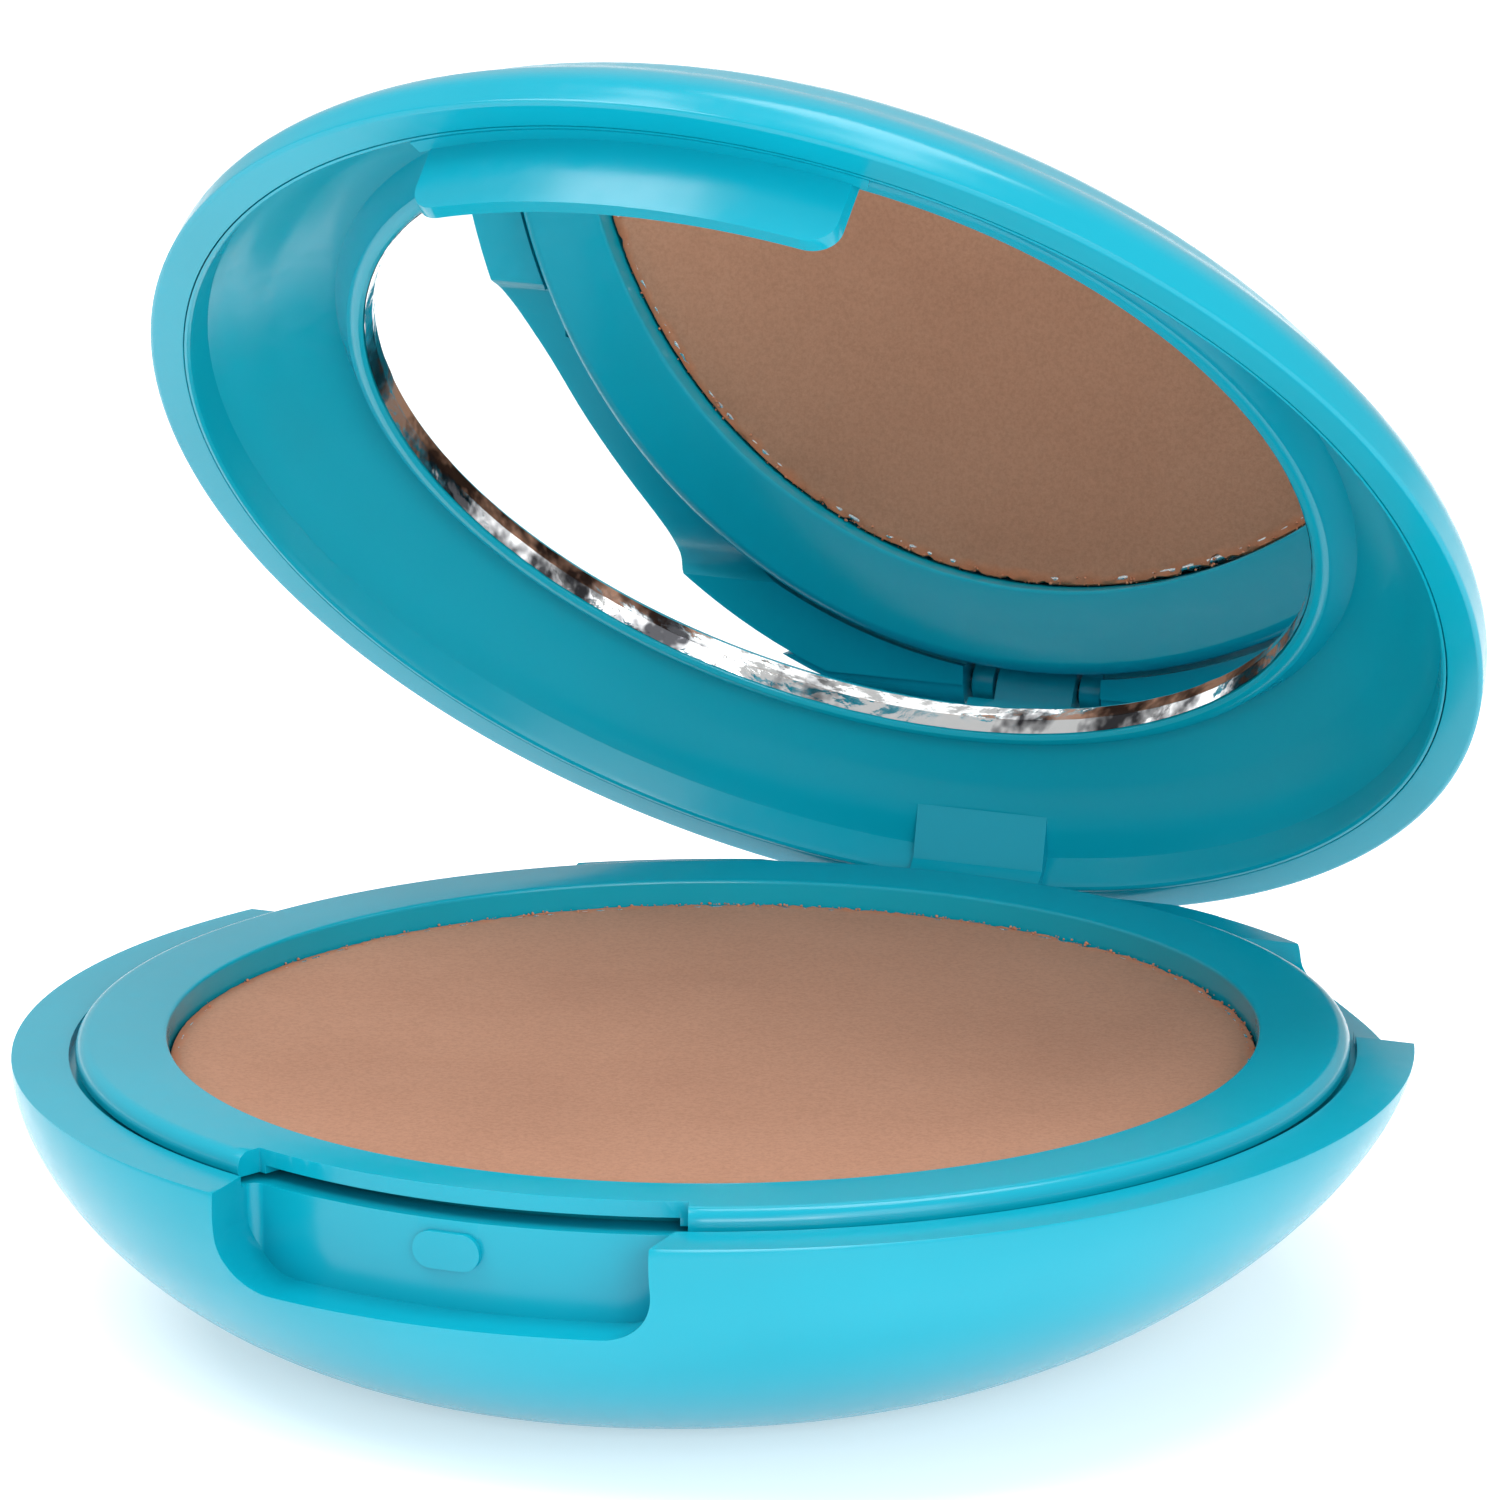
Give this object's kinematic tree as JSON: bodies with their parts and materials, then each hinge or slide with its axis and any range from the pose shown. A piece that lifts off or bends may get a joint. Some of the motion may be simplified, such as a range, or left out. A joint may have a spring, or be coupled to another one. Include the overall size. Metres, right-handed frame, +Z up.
{
  "type": "powder compact",
  "caption": "Round domed powder compact, lid open on a rear hinge, with a mirror, a lift-up tray of pressed powder and a sponge well beneath.",
  "frame": {"origin": "on the flat foot of the base, under the centre of the rim", "axes": "+Z up, -Y to the catch at the front, +Y to the hinge, +X to the right seen from the front"},
  "size_m": [0.076, 0.0773, 0.0694],
  "materials": {
    "teal_plastic": "gloss moulded turquoise plastic",
    "steel": "drawn steel pin",
    "foam": "fine latex foam",
    "aluminium": "pressed sheet",
    "adhesive": "double-sided tape",
    "powder": "matte pressed powder",
    "mirror": "silvered glass"
  },
  "bodies": {
    "base": {"base_shell": "teal_plastic", "hinge_pin": "steel", "sponge": "foam"},
    "tray": {"powder_tray": "teal_plastic", "pan": "aluminium", "pan_adhesive": "adhesive", "powder_cake": "powder"},
    "lid": {"lid_shell": "teal_plastic", "lid_frame": "teal_plastic", "mirror": "mirror", "mirror_adhesive": "adhesive"}
  },
  "joints": [
    {"name": "tray_hinge", "type": "hinge", "parent": "base", "child": "tray", "pos_m": [0, 0.03576, 0.01226], "axis": [-1, 0, 0], "range_deg": [0, 40]},
    {"name": "lid_hinge", "type": "hinge", "parent": "tray", "child": "lid", "pos_m": [0, 0.03576, 0.01226], "axis": [-1, 0, 0], "range_deg": [-47.4, 60]}
  ]
}
